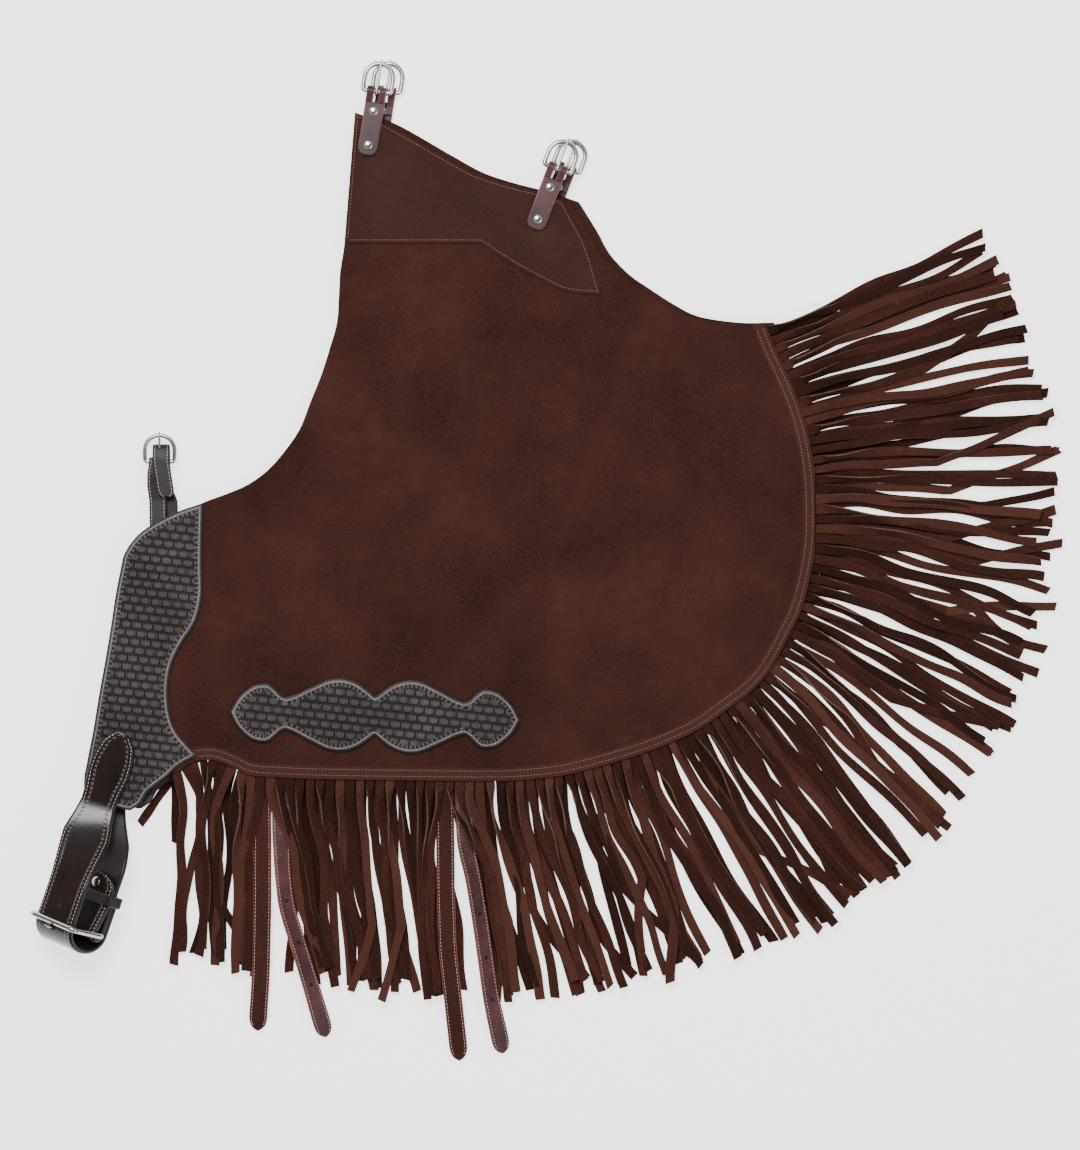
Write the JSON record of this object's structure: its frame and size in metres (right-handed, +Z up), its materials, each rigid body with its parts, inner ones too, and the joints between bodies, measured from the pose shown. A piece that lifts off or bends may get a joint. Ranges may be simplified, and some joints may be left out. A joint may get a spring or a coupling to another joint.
{
  "type": "chink chaps",
  "caption": "Pair of short fringed leather work chaps folded flat, one leg on the other, with a buckled waist belt and leg straps.",
  "frame": {"origin": "on the surface that the pair lies on, under the middle of its box", "axes": "+X from the waist to the hem, +Y from the fringed outer edge to the thigh straps, +Z up from the surface"},
  "size_m": [0.906, 0.8806, 0.0743],
  "materials": {
    "suede": "rough-out",
    "tooled_leather": "basket stamped, waxed",
    "harness_leather": "glossy",
    "latigo": "smooth, waxed",
    "nickel": "polished"
  },
  "bodies": {
    "chaps": {"belt_buckle": "nickel", "belt_keeper": "harness_leather", "belt_rivet": "nickel", "belt_tongue": "nickel", "front_buckle": "nickel", "front_tongue": "nickel", "lower_belt": "harness_leather", "lower_chape_high": "latigo", "lower_chape_low": "latigo", "lower_front_strap": "harness_leather", "lower_hem_fringe": "suede", "lower_leg_panel": "suede", "lower_leg_strap_high": "suede", "lower_leg_strap_low": "suede", "lower_loop_rivet_high": "nickel", "lower_loop_rivet_low": "nickel", "lower_seat_rivet_high": "nickel", "lower_seat_rivet_low": "nickel", "lower_side_fringe": "suede", "lower_side_plate": "tooled_leather", "lower_thigh_facing": "suede", "lower_yoke": "tooled_leather", "upper_belt": "harness_leather", "upper_chape_high": "latigo", "upper_chape_low": "latigo", "upper_front_strap": "harness_leather", "upper_hem_fringe": "suede", "upper_leg_panel": "suede", "upper_leg_strap_high": "latigo", "upper_leg_strap_low": "latigo", "upper_loop_rivet_high": "nickel", "upper_loop_rivet_low": "nickel", "upper_seat_rivet_high": "nickel", "upper_seat_rivet_low": "nickel", "upper_side_fringe": "suede", "upper_side_plate": "tooled_leather", "upper_thigh_facing": "suede", "upper_yoke": "tooled_leather"},
    "upper_frame_high": {"upper_buckle_high": "nickel"},
    "upper_prong_high": {"upper_tongue_high": "nickel"},
    "lower_frame_high": {"lower_buckle_high": "nickel", "lower_tongue_high": "nickel"},
    "upper_frame_low": {"upper_buckle_low": "nickel"},
    "upper_prong_low": {"upper_tongue_low": "nickel"},
    "lower_frame_low": {"lower_buckle_low": "nickel", "lower_tongue_low": "nickel"}
  },
  "joints": [
    {"name": "upper_frame_hinge_high", "type": "hinge", "parent": "chaps", "child": "upper_frame_high", "pos_m": [-0.15179, 0.4111, 0.017], "axis": [0.9877, -0.1564, -0.0007], "range_deg": [0, 75]},
    {"name": "upper_tongue_hinge_high", "type": "hinge", "parent": "upper_frame_high", "child": "upper_prong_high", "pos_m": [-0.15179, 0.4111, 0.017], "axis": [0.9877, -0.1564, -0.0007], "range_deg": [0, 45]},
    {"name": "lower_frame_hinge_high", "type": "hinge", "parent": "chaps", "child": "lower_frame_high", "pos_m": [-0.14379, 0.41216, 0.00655], "axis": [-0.9877, 0.1564, 0.002], "range_deg": [-8, 0]},
    {"name": "upper_frame_hinge_low", "type": "hinge", "parent": "chaps", "child": "upper_frame_low", "pos_m": [0.00635, 0.34339, 0.0167], "axis": [0.9336, -0.3584, -0.0016], "range_deg": [0, 75]},
    {"name": "upper_tongue_hinge_low", "type": "hinge", "parent": "upper_frame_low", "child": "upper_prong_low", "pos_m": [0.00635, 0.34339, 0.0167], "axis": [0.9336, -0.3584, -0.0016], "range_deg": [0, 45]},
    {"name": "lower_frame_hinge_low", "type": "hinge", "parent": "chaps", "child": "lower_frame_low", "pos_m": [0.01435, 0.34445, 0.00569], "axis": [-0.9336, 0.3583, 0.0045], "range_deg": [-8, 0]}
  ]
}
